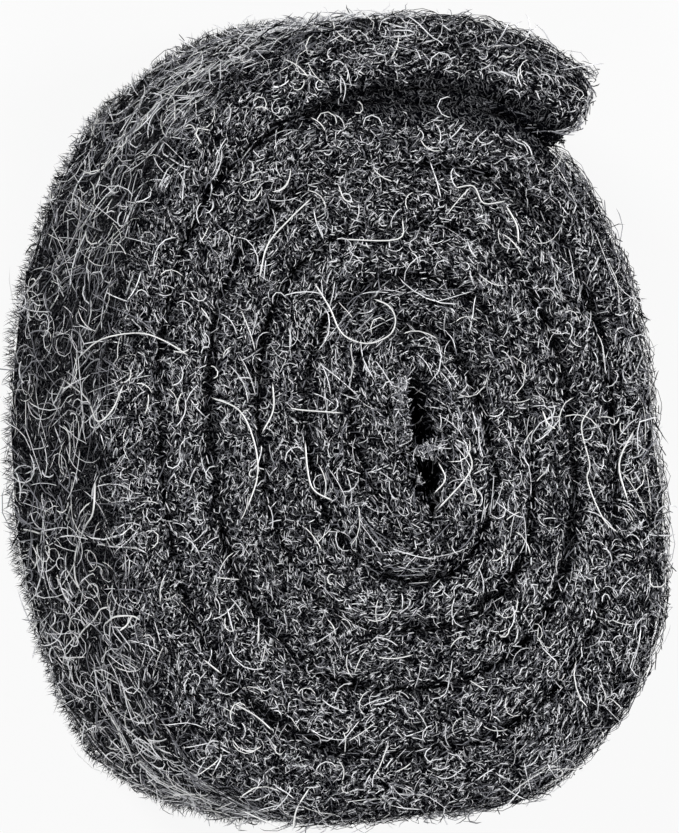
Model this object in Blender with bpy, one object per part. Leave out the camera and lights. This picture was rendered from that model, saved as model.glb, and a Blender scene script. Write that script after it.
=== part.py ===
"""A roll of steel wool: one long felted strip, wound up by hand into an oval roll that stands on its end.

The strip is a single piece. In plan it is a spiral whose turns lie against each other, with a thin crease
between them, a narrow slit left open in the middle, and a loose tail that lifts off the roll at the outside.
Metres, +Z up along the axis of the roll, +Y along the oval's long way.
"""

import math

import bmesh
import bpy
from mathutils import Vector, noise

# The strip as it is bought: its width becomes the height of the roll.
STRIP_WIDTH = 0.081
TURNS = 5.53
STRIP_START = -0.10

# How the oval grows. Each turn adds one thickness of strip, squeezed more on the flat sides than at the ends, and
# the outer turns are wound looser than the inner ones.
EYE_HALF_ACROSS = 0.00135
EYE_HALF_ALONG = 0.0113
PITCH_ACROSS = 0.00730
PITCH_ACROSS_GROWTH = 0.000091
PITCH_ALONG = 0.00541
PITCH_ALONG_GROWTH = 0.00061
DRIFT_ACROSS = -0.00056
DRIFT_ALONG = -0.00007
LEAN_AT_EYE = math.radians(12.3)
LEAN_PER_TURN = math.radians(-1.9)
SQUARENESS_AT_EYE = 1.81
SQUARENESS_PER_TURN = 0.27
SQUARENESS_LOSS = 0.03

# Where the winding hands let the last turn swell or pressed it flat: (winding, reach, height).
BULGES = (
    (5.62, 0.12, -0.0010),
    (5.74, 0.07, 0.0014),
    (5.80, 0.15, 0.0028),
    (5.91, 0.07, -0.0013),
    (6.03, 0.12, 0.0016),
    (6.05, 0.06, 0.0012),
    (6.17, 0.13, 0.0011),
    (6.33, 0.15, 0.0010),
    (6.45, 0.08, 0.0006),
)

# The first turn, which swells into the eye on the side that faces the start of the strip.
EYE_SWELL = 0.0018
EYE_SWELL_WINDING = 0.70
EYE_SWELL_REACH = 0.42

# The creases between the turns, drawn tight in places and loose in others.
CREASE_TIGHT = 0.0004
CREASE_LOOSE = 0.0014
LOOSE_SPOTS_PER_TURN = 2.3

# The tail, which lifts off the turn below it and swells where nothing presses on it.
TAIL_ANGLE = math.radians(54)
TAIL_SPAN = 0.17
TAIL_LIFT = 0.0014
TAIL_SWELL = 0.0010

# The two cut ends of the strip, rounded in plan over this length down to a share of the full thickness.
TAIL_ROUND = 0.0060
START_ROUND = 0.0045
END_SHARE = 0.35

# The cut edges of the strip: frayed into a crown at the top, pressed flatter where they carry the roll.
CROWN_ROUND = 0.0031
FOOT_ROUND = 0.0014

# The tufts that the felt stands up in, along its upper edge and over the outer face of the last turn.
TUFT_SIZE = 0.011
TUFT_HEIGHT = 0.0013
TUFT_FLAT_FROM = 0.35
TUFT_FADE_IN = 0.03

STATIONS_PER_TURN = 46
END_STATIONS = 4
CROWN_SEGMENTS = 3
FOOT_SEGMENTS = 2
OUTER_WALL_ROWS = 5

WOOL_COLOUR = (0.13, 0.135, 0.145, 1.0)
WOOL_ROUGHNESS = 0.55
WOOL_METALLIC = 0.8


def clear_scene():
    for obj in list(bpy.data.objects):
        bpy.data.objects.remove(obj)


def signed_power(value, power):
    return math.copysign(abs(value) ** power, value)


def spiral_point(winding):
    """A point of the line between turns, in plan; winding counts the turns outward from the eye."""
    lean = LEAN_AT_EYE + LEAN_PER_TURN * winding
    angle = TAIL_ANGLE + 2 * math.pi * (TURNS + 1 - winding) - lean
    power = 2 / (SQUARENESS_AT_EYE + SQUARENESS_PER_TURN * winding - SQUARENESS_LOSS * winding**2)
    half_across = EYE_HALF_ACROSS + PITCH_ACROSS * winding + PITCH_ACROSS_GROWTH * winding**2
    half_along = EYE_HALF_ALONG + PITCH_ALONG * winding + PITCH_ALONG_GROWTH * winding**2
    across = half_across * signed_power(math.cos(angle), power)
    along = half_along * signed_power(math.sin(angle), power)
    return Vector(
        (
            DRIFT_ACROSS * winding + across * math.cos(lean) - along * math.sin(lean),
            DRIFT_ALONG * winding + across * math.sin(lean) + along * math.cos(lean),
        )
    )


def outward(winding):
    """The direction that points out of the roll, square to the spiral."""
    step = 0.01
    forward = spiral_point(winding + step) - spiral_point(winding - step)
    return Vector((-forward.y, forward.x)).normalized()


def crease(winding):
    """The width of the crease at a winding."""
    loose = (0.5 - 0.5 * math.cos(2 * math.pi * LOOSE_SPOTS_PER_TURN * winding)) ** 2
    return CREASE_TIGHT + (CREASE_LOOSE - CREASE_TIGHT) * loose


def looseness(winding):
    """0 where the strip is held down by the roll, rising to 1 at the end of the tail."""
    return max(0.0, (winding - (TURNS - TAIL_SPAN)) / TAIL_SPAN) ** 2


def eye_swell(winding):
    """How far the first turn swells into the eye."""
    share = min(1.0, abs(winding - EYE_SWELL_WINDING) / EYE_SWELL_REACH)
    return EYE_SWELL * math.cos(math.pi / 2 * share) ** 2


def bulge(winding):
    """How far the outer face of the last turn stands out of the plain oval."""
    height = 0.0
    for middle, reach, most in BULGES:
        share = min(1.0, abs(winding - middle) / reach)
        height += most * math.cos(math.pi / 2 * share) ** 2
    return height


def strip_faces(winding):
    """Where the strip's inner and outer faces lie at one winding, in plan."""
    lift = TAIL_LIFT * looseness(winding)
    swell = TAIL_SWELL * looseness(winding)
    inner = spiral_point(winding) + outward(winding) * (crease(winding) / 2 + lift - eye_swell(winding))
    outer = spiral_point(winding + 1) + outward(winding + 1) * (
        lift + swell + bulge(winding + 1) - crease(winding + 1) / 2
    )
    return inner, outer


def middle_point(winding):
    inner, outer = strip_faces(winding)
    return (inner + outer) / 2


def winding_length(winding):
    """The length of strip in one turn at this winding."""
    step = 0.01
    return (middle_point(winding + step) - middle_point(winding - step)).length / (2 * step)


def end_windings(end, length, inward):
    """The stations that round off one cut end: (winding, share of the full thickness), from the end inward."""
    span = length / winding_length(end)
    made = []
    for i in range(END_STATIONS):
        quarter = math.pi / 2 * i / END_STATIONS
        made.append((end + inward * span * (1 - math.cos(quarter)), END_SHARE + (1 - END_SHARE) * math.sin(quarter)))
    return made, end + inward * span


def stations():
    """(winding, share of the full thickness) all along the strip, from the eye to the tail."""
    start, first_full = end_windings(STRIP_START, START_ROUND, 1)
    tail, last_full = end_windings(TURNS, TAIL_ROUND, -1)
    count = round((last_full - first_full) * STATIONS_PER_TURN)
    body = [(first_full + (last_full - first_full) * i / count, 1.0) for i in range(count + 1)]
    return start + body + tail[::-1]


def quarter_round(centre, radius, start, segments):
    """Points on a quarter circle, anticlockwise from the angle start."""
    angles = [start + math.pi / 2 * i / segments for i in range(segments + 1)]
    return [Vector((centre[0] + radius * math.cos(a), centre[1] + radius * math.sin(a))) for a in angles]


def section(thickness):
    """The strip cut across: (distance from the inner face, height), anticlockwise from the foot of the outer face."""
    crown = min(CROWN_ROUND, 0.45 * thickness)
    foot = min(FOOT_ROUND, 0.45 * thickness)
    row = (STRIP_WIDTH - crown - foot) / (OUTER_WALL_ROWS + 1)
    return [
        *quarter_round((thickness - foot, foot), foot, -math.pi / 2, FOOT_SEGMENTS),
        *[Vector((thickness, foot + row * i)) for i in range(1, OUTER_WALL_ROWS + 1)],
        *quarter_round((thickness - crown, STRIP_WIDTH - crown), crown, 0, CROWN_SEGMENTS),
        *quarter_round((crown, STRIP_WIDTH - crown), crown, math.pi / 2, CROWN_SEGMENTS),
        *quarter_round((foot, foot), foot, math.pi, FOOT_SEGMENTS),
    ]


def ring(winding, share):
    """The section stood up across the strip at a station."""
    inner, outer = strip_faces(winding)
    across = outer - inner
    thickness = across.length * share
    foot = inner + across * (1 - share) / 2
    unit = across.normalized()
    return [Vector((*(foot + unit * point.x), point.y)) for point in section(thickness)]


def centred(rings):
    """The rings moved so that the roll stands over the origin."""
    points = [point for one in rings for point in one]
    middle = Vector(
        (
            (min(p.x for p in points) + max(p.x for p in points)) / 2,
            (min(p.y for p in points) + max(p.y for p in points)) / 2,
            0,
        )
    )
    return [[point - middle for point in one] for one in rings]


def tufted(rings, windings):
    """The rings with their crowns sunk between the tufts, and the last turn's outer face raised by them."""
    made = []
    for ring_points, winding in zip(rings, windings):
        free = min(1.0, max(0.0, (winding + 1 - TURNS) / TUFT_FADE_IN - 0.5))
        away = Vector((*outward(winding + 1), 0))
        foot_count = FOOT_SEGMENTS + 1
        outer_wall = range(foot_count, foot_count + OUTER_WALL_ROWS + 1)
        one = []
        for i, point in enumerate(ring_points):
            tuft = noise.noise(point / TUFT_SIZE)
            moved = point.copy()
            if point.z > STRIP_WIDTH - CROWN_ROUND:
                moved.z -= TUFT_HEIGHT * max(0.0, TUFT_FLAT_FROM - tuft)
            if i in outer_wall:
                moved += away * TUFT_HEIGHT * tuft * free
            one.append(moved)
        made.append(one)
    return made


def wind_strip(bm, rings):
    """The cut end of the strip is extruded from ring to ring along the spiral, then closed behind."""
    start = [bm.verts.new(point) for point in rings[0]]
    cap = bm.faces.new(start)
    for one in rings[1:]:
        cap = bmesh.ops.extrude_discrete_faces(bm, faces=[cap])["faces"][0]
        for vert, point in zip(cap.verts, one):
            vert.co = point
    bm.faces.new(start[::-1])


def make_material():
    material = bpy.data.materials.new("steel_wool")
    material.use_nodes = True
    shader = material.node_tree.nodes["Principled BSDF"]
    shader.inputs["Base Color"].default_value = WOOL_COLOUR
    shader.inputs["Roughness"].default_value = WOOL_ROUGHNESS
    shader.inputs["Metallic"].default_value = WOOL_METALLIC
    return material


def make_strip():
    """The whole roll: one strip, wound up."""
    bm = bmesh.new()
    places = stations()
    rings = centred([ring(*place) for place in places])
    wind_strip(bm, centred(tufted(rings, [winding for winding, share in places])))
    bmesh.ops.recalc_face_normals(bm, faces=bm.faces[:])
    mesh = bpy.data.meshes.new("wound_strip")
    bm.to_mesh(mesh)
    bm.free()
    mesh.materials.append(make_material())
    mesh.shade_smooth()
    strip = bpy.data.objects.new("wound_strip", mesh)
    bpy.context.collection.objects.link(strip)
    return strip


clear_scene()
make_strip()
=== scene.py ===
"""A hand-wound roll of coarse steel wool, standing on its end: the felt strip and the fibres on it."""

import math

import bmesh
import bpy
import numpy as np
from mathutils import Matrix, Vector, noise
from mathutils.bvhtree import BVHTree


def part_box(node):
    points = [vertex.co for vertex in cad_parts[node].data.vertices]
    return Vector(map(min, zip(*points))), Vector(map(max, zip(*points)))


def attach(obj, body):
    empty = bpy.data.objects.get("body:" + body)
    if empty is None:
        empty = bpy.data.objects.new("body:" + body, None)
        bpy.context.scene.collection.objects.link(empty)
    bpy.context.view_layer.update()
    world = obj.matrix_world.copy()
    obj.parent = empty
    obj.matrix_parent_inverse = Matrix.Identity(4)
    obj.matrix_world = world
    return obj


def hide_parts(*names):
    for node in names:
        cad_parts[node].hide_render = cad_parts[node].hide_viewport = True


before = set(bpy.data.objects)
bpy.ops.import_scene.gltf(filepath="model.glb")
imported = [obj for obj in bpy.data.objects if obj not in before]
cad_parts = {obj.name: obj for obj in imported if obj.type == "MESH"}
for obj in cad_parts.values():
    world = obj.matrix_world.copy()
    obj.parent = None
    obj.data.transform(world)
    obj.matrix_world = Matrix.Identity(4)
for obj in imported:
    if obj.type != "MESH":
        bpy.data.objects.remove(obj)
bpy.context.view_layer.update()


# The camera
# The photograph looks down on the upper end from a little to the left, through a long lens, so that the
# roll's left side shows as a narrow band and the lower end is hardly smaller than the upper one.

PHOTO_WIDTH = 679
PHOTO_HEIGHT = 833
METRES_PER_PIXEL = 0.00017
VIEW_TILT = math.radians(12.7)
LENS = 900
SENSOR = 36
NEAREST_SEEN = 0.01
FARTHEST_SEEN = 20
END_MIDDLE_PIXEL = (390.5, 419.3)

strip_low, strip_high = (Vector(corner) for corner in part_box("wound_strip"))
STRIP_WIDTH = strip_high.z - strip_low.z


def add_object(name, data):
    made = bpy.data.objects.new(name, data)
    bpy.context.collection.objects.link(made)
    return made


def add_camera():
    data = bpy.data.cameras.new("photo_camera")
    data.lens = LENS
    data.sensor_width = SENSOR
    data.clip_start = NEAREST_SEEN
    data.clip_end = FARTHEST_SEEN
    camera = add_object("photo_camera", data)
    across = METRES_PER_PIXEL * (PHOTO_WIDTH / 2 - END_MIDDLE_PIXEL[0]) / math.cos(VIEW_TILT)
    upward = METRES_PER_PIXEL * (END_MIDDLE_PIXEL[1] - PHOTO_HEIGHT / 2)
    aim = Vector((across, upward, strip_high.z))
    away = METRES_PER_PIXEL * PHOTO_HEIGHT * LENS / SENSOR
    turn = Matrix.Rotation(-VIEW_TILT, 4, "Y")
    camera.matrix_world = Matrix.Translation(aim) @ turn @ Matrix.Translation((0, 0, away))
    bpy.context.scene.camera = camera
    return camera


camera = add_camera()
bpy.context.view_layer.update()


def pixel_ray(pixel):
    """The start and direction of the line of sight through a pixel of the photograph."""
    side = SENSOR * (pixel[0] - PHOTO_WIDTH / 2) / PHOTO_HEIGHT
    rise = SENSOR * (PHOTO_HEIGHT / 2 - pixel[1]) / PHOTO_HEIGHT
    sight = camera.matrix_world.to_3x3() @ Vector((side, rise, -LENS))
    return camera.matrix_world.translation, sight.normalized()


# The felt
# One strip of steel wool, laid up as a dense mat of fibres and wound by hand into an oval. Its near-black
# colour is painted shade for the depth of the mat. It has no core and no backing. The turns press on each
# other, and the strip's cut edges fray into a low crown.
# The last turn swells or is pressed flat in places, which BULGES lists as (winding, reach, height).

TURNS = 5.53
STRIP_START = -0.10
EYE_HALF_ACROSS = 0.00135
EYE_HALF_ALONG = 0.0113
PITCH_ACROSS = 0.00730
PITCH_ACROSS_GROWTH = 0.000091
PITCH_ALONG = 0.00541
PITCH_ALONG_GROWTH = 0.00061
DRIFT_ACROSS = -0.00056
DRIFT_ALONG = -0.00007
LEAN_AT_EYE = math.radians(12.3)
LEAN_PER_TURN = math.radians(-1.9)
SQUARENESS_AT_EYE = 1.81
SQUARENESS_PER_TURN = 0.27
SQUARENESS_LOSS = 0.03
BULGES = (
    (5.62, 0.12, -0.0010),
    (5.74, 0.07, 0.0014),
    (5.80, 0.15, 0.0028),
    (5.91, 0.07, -0.0013),
    (6.03, 0.12, 0.0016),
    (6.05, 0.06, 0.0012),
    (6.17, 0.13, 0.0011),
    (6.33, 0.15, 0.0010),
    (6.45, 0.08, 0.0006),
)
EYE_SWELL = 0.0018
EYE_SWELL_WINDING = 0.70
EYE_SWELL_REACH = 0.42
CREASE_TIGHT = 0.0004
CREASE_LOOSE = 0.0014
LOOSE_SPOTS_PER_TURN = 2.3
TAIL_ANGLE = math.radians(54)
TAIL_SPAN = 0.17
TAIL_LIFT = 0.0014
TAIL_SWELL = 0.0010
TAIL_ROUND = 0.0060
START_ROUND = 0.0045
END_SHARE = 0.35
WINDING_STEP = 0.01
OUTLINE_SPAN = 1.1
OUTLINE_SAMPLES = 400

FELT_CROWN = 0.0026
FELT_FOOT = 0.0012
FELT_SUNK_TOP = 0.0015
FELT_SUNK_FOOT = 0.0002
FELT_STATIONS_PER_TURN = 110
FELT_WALL_ROWS = 10
FELT_TOP_ROWS = 4
FELT_ROUND_ROWS = 3
FELT_END_STATIONS = 6
MOST_ROUND = 0.45
MOST_CREASE_ROUND = 0.5
TUFT_SIZE = 0.011
TUFT_HEIGHT = 0.0013
TUFT_FLAT_FROM = 0.35
TUFT_ON_WALL = 0.7
LUMP_SIZE = 0.0022
LUMP_HEIGHT = 0.0005
LUMP_SHIFT = Vector((7, 3, 5))
LOOKS_UP = 0.5
EYE_HOLLOW_PIXELS = ((422, 383), (427, 434))
EYE_HOLLOW_REACH = 0.0022
EYE_HOLLOW_DEPTH = 0.0048
EYE_HOLLOW_STEEPNESS = 4
TAIL_CREASE_ROUND = 0.0026
TAIL_CREASE_EARLY = 1.3
TAIL_LOBE = 0.0046
TAIL_LOBE_SPAN = 0.040
TAIL_LOBE_DEPTH = (0.0022, 0.008)


def signed_power(value, power):
    return np.sign(value) * np.abs(value) ** power


def spiral(winding):
    """Points of the line between turns, in plan; winding counts the turns outward from the eye."""
    lean = LEAN_AT_EYE + LEAN_PER_TURN * winding
    angle = TAIL_ANGLE + 2 * np.pi * (TURNS + 1 - winding) - lean
    power = 2 / (SQUARENESS_AT_EYE + SQUARENESS_PER_TURN * winding - SQUARENESS_LOSS * winding**2)
    half_across = EYE_HALF_ACROSS + PITCH_ACROSS * winding + PITCH_ACROSS_GROWTH * winding**2
    half_along = EYE_HALF_ALONG + PITCH_ALONG * winding + PITCH_ALONG_GROWTH * winding**2
    across = half_across * signed_power(np.cos(angle), power)
    along = half_along * signed_power(np.sin(angle), power)
    x = DRIFT_ACROSS * winding + across * np.cos(lean) - along * np.sin(lean)
    y = DRIFT_ALONG * winding + across * np.sin(lean) + along * np.cos(lean)
    return np.stack([x, y], axis=-1)


def outward(winding):
    """The direction that points out of the roll, square to the spiral."""
    forward = spiral(winding + WINDING_STEP) - spiral(winding - WINDING_STEP)
    forward /= np.linalg.norm(forward, axis=-1, keepdims=True)
    return np.stack([-forward[..., 1], forward[..., 0]], axis=-1)


def crease(winding):
    """The width of the crease at a winding."""
    loose = (0.5 - 0.5 * np.cos(2 * np.pi * LOOSE_SPOTS_PER_TURN * winding)) ** 2
    return CREASE_TIGHT + (CREASE_LOOSE - CREASE_TIGHT) * loose


def looseness(winding):
    """0 where the strip is held down by the roll, rising to 1 at the end of the tail."""
    return np.maximum(0, (winding - (TURNS - TAIL_SPAN)) / TAIL_SPAN) ** 2


def eye_swell(winding):
    """How far the first turn swells into the eye."""
    share = np.minimum(1, np.abs(winding - EYE_SWELL_WINDING) / EYE_SWELL_REACH)
    return EYE_SWELL * np.cos(np.pi / 2 * share) ** 2


def bulge(winding):
    """How far the outer face of the last turn stands out of the plain oval."""
    height = np.zeros_like(winding)
    for middle, reach, most in BULGES:
        share = np.minimum(1, np.abs(winding - middle) / reach)
        height += most * np.cos(np.pi / 2 * share) ** 2
    return height


def loose_faces(winding):
    """Where the strip's inner and outer faces lie before the roll is centred."""
    lift = TAIL_LIFT * looseness(winding)
    swell = TAIL_SWELL * looseness(winding) + bulge(winding + 1)
    inner_off = crease(winding) / 2 + lift - eye_swell(winding)
    outer_off = lift + swell - crease(winding + 1) / 2
    inner = spiral(winding) + outward(winding) * inner_off[..., None]
    outer = spiral(winding + 1) + outward(winding + 1) * outer_off[..., None]
    return inner, outer


last_turn = loose_faces(np.linspace(TURNS - OUTLINE_SPAN, TURNS, OUTLINE_SAMPLES))[1]
ROLL_MIDDLE = (last_turn.min(axis=0) + last_turn.max(axis=0)) / 2


def strip_faces(winding):
    """Where the strip's inner and outer faces lie at each winding, in plan."""
    winding = np.asarray(winding, dtype=float)
    inner, outer = loose_faces(winding)
    return inner - ROLL_MIDDLE, outer - ROLL_MIDDLE


def strip_thickness(winding):
    inner, outer = strip_faces(winding)
    return np.linalg.norm(outer - inner, axis=-1)


def length_per_turn(winding):
    """How much strip one turn takes at each winding, along its middle."""
    ahead = sum(strip_faces(winding + WINDING_STEP)) / 2
    behind = sum(strip_faces(winding - WINDING_STEP)) / 2
    return np.linalg.norm(ahead - behind, axis=-1) / (2 * WINDING_STEP)


def felt_stations():
    """(winding, share of the full thickness) all along the strip, its two cut ends rounded off."""
    ends = []
    for end, length, inward in ((STRIP_START, START_ROUND, 1), (TURNS, TAIL_ROUND, -1)):
        span = length / float(length_per_turn(end))
        quarters = np.linspace(0, np.pi / 2, FELT_END_STATIONS + 1)[:-1]
        ends.append([(end + inward * span * (1 - math.cos(q)), END_SHARE + (1 - END_SHARE) * math.sin(q))
                     for q in quarters])
        ends.append(end + inward * span)
    start, first_full, tail, last_full = ends
    count = round((last_full - first_full) * FELT_STATIONS_PER_TURN)
    body = [(winding, 1.0) for winding in np.linspace(first_full, last_full, count + 1)]
    return start + body + tail[::-1]


def corner_points(across, height, radius, start):
    """A quarter round of the section, anticlockwise from the angle start."""
    angles = np.linspace(start, start + np.pi / 2, FELT_ROUND_ROWS + 1)
    return np.stack([across + radius * np.cos(angles), height + radius * np.sin(angles)], axis=-1)


def inner_crown(winding):
    """How widely the upper inner edge is rounded: more along the tail, where nothing holds it in."""
    widened = np.clip(TAIL_CREASE_EARLY * ((winding - TURNS) / TAIL_SPAN + 1), 0, 1)
    return FELT_CROWN + TAIL_CREASE_ROUND * widened


def felt_section(thickness, near_crown):
    """The felt cut across: (distance from the inner face, height), anticlockwise from the outer foot."""
    low, high = FELT_SUNK_FOOT, STRIP_WIDTH - FELT_SUNK_TOP
    crown = min(FELT_CROWN, MOST_ROUND * thickness)
    near_crown = min(near_crown, MOST_CREASE_ROUND * thickness)
    foot = min(FELT_FOOT, MOST_ROUND * thickness)
    corners = [
        corner_points(thickness - foot, low + foot, foot, -np.pi / 2),
        corner_points(thickness - crown, high - crown, crown, 0),
        corner_points(near_crown, high - near_crown, near_crown, np.pi / 2),
        corner_points(foot, low + foot, foot, np.pi),
    ]
    all_rows = (FELT_WALL_ROWS, FELT_TOP_ROWS, FELT_WALL_ROWS, FELT_TOP_ROWS)
    points = []
    for corner, following, rows in zip(corners, corners[1:] + corners[:1], all_rows):
        points.extend(corner)
        for row in range(1, rows):
            points.append(corner[-1] + (following[0] - corner[-1]) * row / rows)
    return np.array(points)


def tail_lobe(winding, height):
    """How far the tail's inner face sags towards the roll, below its frayed upper edge."""
    first, full = TAIL_LOBE_DEPTH
    deep = np.clip((STRIP_WIDTH - height - first) / (full - first), 0, 1)
    low = np.clip((height - FELT_FOOT) / full, 0, 1)
    near_end = np.clip((winding - TURNS) / TAIL_LOBE_SPAN + 1, 0, 1)
    return TAIL_LOBE * near_end * deep * deep * (3 - 2 * deep) * low


def felt_ring(winding, share):
    """The section set up across the strip at a station."""
    inner, outer = strip_faces(winding)
    across = outer - inner
    thickness = np.linalg.norm(across)
    foot = inner + across * (1 - share) / 2
    section = felt_section(thickness * share, float(inner_crown(winding)))
    inner_half = np.clip(1 - 2 * section[:, 0] / (thickness * share), 0, 1)
    section[:, 0] -= tail_lobe(winding, section[:, 1]) * inner_half
    plan = foot + across / thickness * section[:, :1]
    return np.column_stack([plan, section[:, 1]])


def tuft(places):
    """The tufts that the felt stands up in: a number from about -1 to 1 for each place."""
    flat = np.reshape(places, (-1, 3)) / TUFT_SIZE
    values = [noise.noise(place) for place in flat.tolist()]
    return np.reshape(values, np.shape(places)[:-1])


def under_pixel(pixel, sunk):
    """The place that a pixel of the photo shows, at a depth below the upper end."""
    start, sight = pixel_ray(pixel)
    return np.array(start + sight * ((STRIP_WIDTH - sunk - start.z) / sight.z))


def eye_hollow(places):
    """How far the felt has sunk in beside the eye, along a line between two places in the photo."""
    ends = [under_pixel(pixel, 0)[:2] for pixel in EYE_HOLLOW_PIXELS]
    line = ends[1] - ends[0]
    from_first = np.asarray(places)[..., :2] - ends[0]
    share = np.clip(from_first @ line / (line @ line), 0, 1)
    distance = np.linalg.norm(from_first - share[..., None] * line, axis=-1)
    return EYE_HOLLOW_DEPTH * np.exp(-((distance / EYE_HOLLOW_REACH) ** EYE_HOLLOW_STEEPNESS))


def tuft_drop(places):
    """How far the upper edge sinks between the tufts and beside the eye."""
    return TUFT_HEIGHT * np.maximum(0, TUFT_FLAT_FROM - tuft(places)) + eye_hollow(places)


def felt_lump(place, normal):
    """How far the felt's surface moves along its normal: tufts over all of it, and small lumps on them."""
    own_tuft = noise.noise(place / TUFT_SIZE)
    small = LUMP_HEIGHT * noise.noise(place / LUMP_SIZE + LUMP_SHIFT)
    if normal.z > LOOKS_UP:
        return small - TUFT_HEIGHT * max(0.0, TUFT_FLAT_FROM - own_tuft) - float(eye_hollow(place))
    return small + TUFT_HEIGHT * own_tuft * TUFT_ON_WALL


def add_piece(name, mesh, materials=()):
    """A finished piece of the roll, riding on its one body."""
    piece = add_object(name, mesh)
    for material in materials:
        mesh.materials.append(material)
    mesh.shade_smooth()
    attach(piece, "root")
    return piece


def mesh_from(bm, name):
    mesh = bpy.data.meshes.new(name)
    bm.to_mesh(mesh)
    bm.free()
    return mesh


def sweep(rings):
    """A closed solid: its first end is extruded from ring to ring."""
    bm = bmesh.new()
    start = [bm.verts.new(point) for point in rings[0]]
    cap = bm.faces.new(start)
    for ring in rings[1:]:
        cap = bmesh.ops.extrude_discrete_faces(bm, faces=[cap])["faces"][0]
        for vert, point in zip(cap.verts, ring):
            vert.co = point
    bm.faces.new(start[::-1])
    bmesh.ops.recalc_face_normals(bm, faces=bm.faces[:])
    return bm


def make_felt():
    """The strip wound up, and its surface made lumpy."""
    bm = sweep([felt_ring(*station) for station in felt_stations()])
    bm.normal_update()
    for vert in bm.verts:
        if vert.co.z > FELT_FOOT:
            vert.co += vert.normal * felt_lump(vert.co, vert.normal)
    tree = BVHTree.FromBMesh(bm)
    return mesh_from(bm, "wound_felt"), tree


# The felt's near-black ground is painted shade for the depth of the mat between the fibres; the grey dashes
# on it are deeper fibres.
FELT_PAINTED_SHADE_BLACK = (0.0009, 0.0010, 0.0020, 1)
FELT_GREY = (0.62, 0.63, 0.67, 1)
FELT_ROUGHNESS = 0.6
WALL_DASHES = 0.40
DASH_STRETCH = 0.45
DASH_SPARKLE = 1.6
MILLIMETRES = 1000
DASH_LAYERS = ((0.8, 0.11, 0.0), (1.1, 0.09, 4.7), (1.5, 0.08, 9.1))
WANDER_PER_MILLIMETRE = 0.9
PATCHES_PER_MILLIMETRE = 0.35
PATCH_CONTRAST = 1.4
RELIEF_STRENGTH = 0.7
RELIEF_DEPTH = 0.0002
MIDDLE_GREY = (0.5, 0.5, 0.5)


def connect(tree, *pairs):
    for source, target in pairs:
        tree.links.new(source, target)


def add_math(tree, operation, first, second=None, clamp=False):
    """The result of a Math node whose inputs are sockets or plain numbers."""
    node = tree.nodes.new("ShaderNodeMath")
    node.operation = operation
    node.use_clamp = clamp
    for socket, value in zip(node.inputs, (first, second)):
        if isinstance(value, (int, float)):
            socket.default_value = value
        elif value is not None:
            tree.links.new(value, socket)
    return node.outputs[0]


def add_vector_math(tree, operation, first, second=None):
    """The result of a Vector Math node whose inputs are sockets or plain triples."""
    node = tree.nodes.new("ShaderNodeVectorMath")
    node.operation = operation
    for socket, value in zip(node.inputs, (first, second)):
        if isinstance(value, tuple):
            socket.default_value = value
        elif value is not None:
            tree.links.new(value, socket)
    return node.outputs["Value" if operation == "DOT_PRODUCT" else "Vector"]


def make_dash_group():
    """Short bright dashes at all angles: the fibres that lie deeper in the felt than the modelled ones."""
    tree = bpy.data.node_groups.new("fibre_dashes", "ShaderNodeTree")
    for name in ("Place", "Surface Normal"):
        tree.interface.new_socket(name, in_out="INPUT", socket_type="NodeSocketVector")
    for name in ("Per Millimetre", "Half Width"):
        tree.interface.new_socket(name, in_out="INPUT", socket_type="NodeSocketFloat")
    tree.interface.new_socket("Mask", in_out="OUTPUT", socket_type="NodeSocketFloat")
    source = tree.nodes.new("NodeGroupInput")
    sink = tree.nodes.new("NodeGroupOutput")
    place, normal, fineness, half_width = source.outputs[:4]

    cells = tree.nodes.new("ShaderNodeTexVoronoi")
    connect(tree, (place, cells.inputs["Vector"]), (fineness, cells.inputs["Scale"]))
    heart = add_vector_math(tree, "SUBTRACT", place, cells.outputs["Position"])

    heading = add_vector_math(tree, "SUBTRACT", cells.outputs["Color"], MIDDLE_GREY)
    heading = add_vector_math(tree, "CROSS_PRODUCT", heading, normal)
    heading = add_vector_math(tree, "NORMALIZE", heading)
    sideways = add_vector_math(tree, "CROSS_PRODUCT", heading, normal)

    off_line = add_vector_math(tree, "DOT_PRODUCT", heart, sideways)
    off_line = add_math(tree, "DIVIDE", add_math(tree, "ABSOLUTE", off_line), half_width)
    dash = add_math(tree, "SUBTRACT", 1.0, off_line, clamp=True)
    parts = tree.nodes.new("ShaderNodeSeparateXYZ")
    connect(tree, (cells.outputs["Color"], parts.inputs[0]))
    own_light = add_math(tree, "POWER", parts.outputs["X"], DASH_SPARKLE)
    connect(tree, (add_math(tree, "MULTIPLY", dash, own_light), sink.inputs["Mask"]))
    return tree


def new_material(name, roughness):
    material = bpy.data.materials.new(name)
    material.use_nodes = True
    shader = material.node_tree.nodes["Principled BSDF"]
    shader.inputs["Roughness"].default_value = roughness
    return material, shader


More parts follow.
